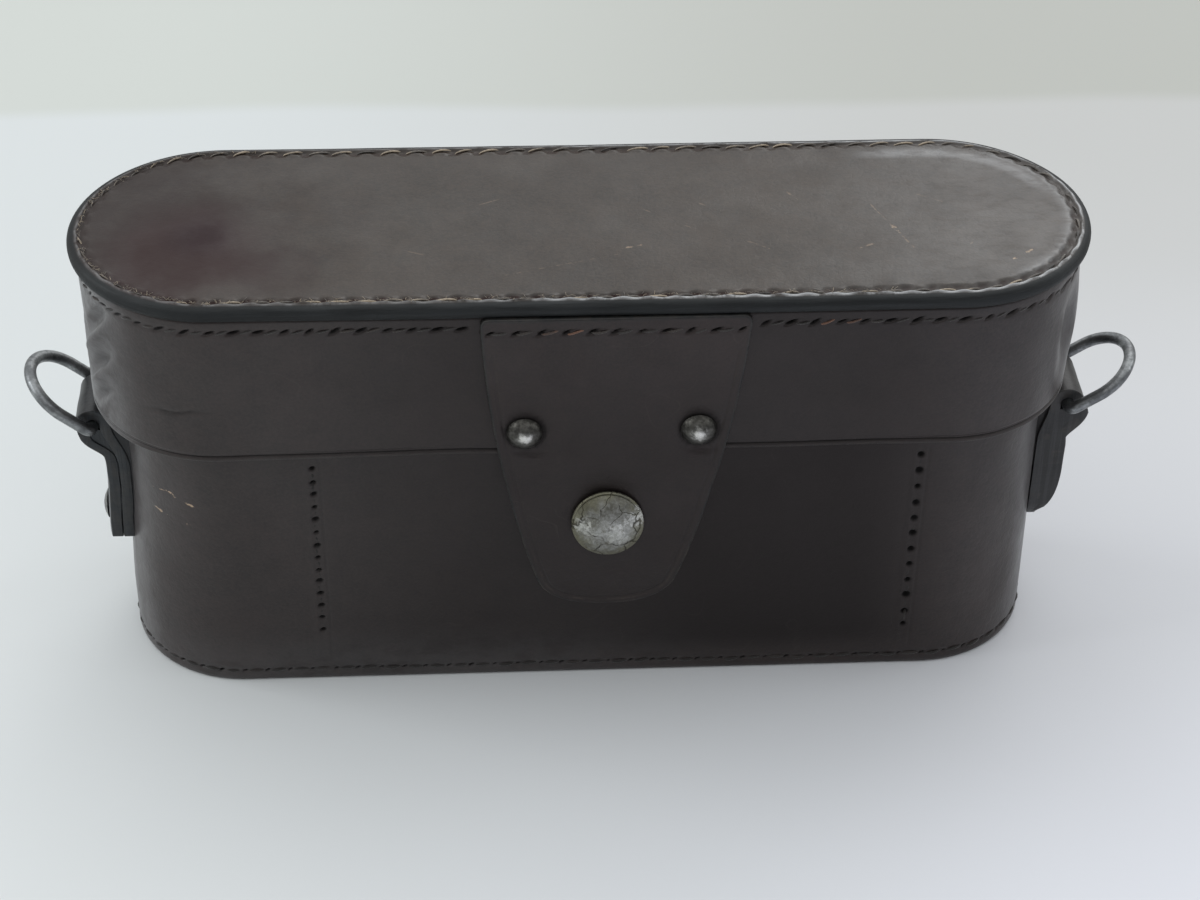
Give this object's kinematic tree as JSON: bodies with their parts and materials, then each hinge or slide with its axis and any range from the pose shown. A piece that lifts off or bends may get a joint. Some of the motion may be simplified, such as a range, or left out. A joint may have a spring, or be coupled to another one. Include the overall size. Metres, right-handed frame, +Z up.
{
  "type": "leather instrument case",
  "caption": "Stadium-shaped leather instrument case with a hinged slip-over lid, a press-stud tongue, inner dividers and a D-ring in a strap loop at each end.",
  "frame": {"origin": "centre of the underside of the case, on the surface that it stands on", "axes": "+X along the case towards the right ring as seen from the front, +Z up, front with the tongue faces -Y"},
  "size_m": [0.2232, 0.0619, 0.096],
  "materials": {
    "bridle_leather": "satin, dark brown, waxed and worn",
    "divider_leather": "matte brown",
    "lining_cloth": "matte wine-coloured baize",
    "rivet_steel": "dark, worn bright on top",
    "ring_steel": "dull grey",
    "snap_brass": "nickelled, scratched and tarnished"
  },
  "bodies": {
    "case": {"case_wall": "bridle_leather", "bottom_panel": "bridle_leather", "bottom_lining": "lining_cloth", "divider_left": "divider_leather", "divider_right": "divider_leather", "loop_left": "bridle_leather", "loop_right": "bridle_leather", "loop_rivet": "rivet_steel", "loop_burr": "rivet_steel", "hinge_lower": "bridle_leather", "snap_stud": "snap_brass", "snap_post": "snap_brass"},
    "lid": {"lid_wall": "bridle_leather", "lid_panel": "bridle_leather", "lid_lining": "lining_cloth", "tongue_root": "bridle_leather", "tongue_rivets": "rivet_steel", "tongue_burrs": "rivet_steel", "hinge_upper": "bridle_leather"},
    "tongue": {"tongue_flap": "bridle_leather", "snap_cap": "snap_brass", "snap_socket": "snap_brass", "snap_spring": "ring_steel"},
    "ring_left": {"ring_left": "ring_steel"},
    "ring_right": {"ring_right": "ring_steel"}
  },
  "joints": [
    {"name": "lid_hinge", "type": "hinge", "parent": "case", "child": "lid", "pos_m": [0, 0.0284, 0.0601], "axis": [-1, 0, 0], "range_deg": [0, 170]},
    {"name": "tongue_bend", "type": "hinge", "parent": "lid", "child": "tongue", "pos_m": [0.0044, -0.0284, 0.0601], "axis": [-1, 0, 0], "range_deg": [0, 80]},
    {"name": "ring_left_turn", "type": "hinge", "parent": "case", "child": "ring_left", "pos_m": [-0.0978, 0, 0.0537], "axis": [0, 1, 0], "range_deg": [-118, 43]},
    {"name": "ring_right_turn", "type": "hinge", "parent": "case", "child": "ring_right", "pos_m": [0.0984, 0, 0.0537], "axis": [0, -1, 0], "range_deg": [-112, 49]}
  ]
}
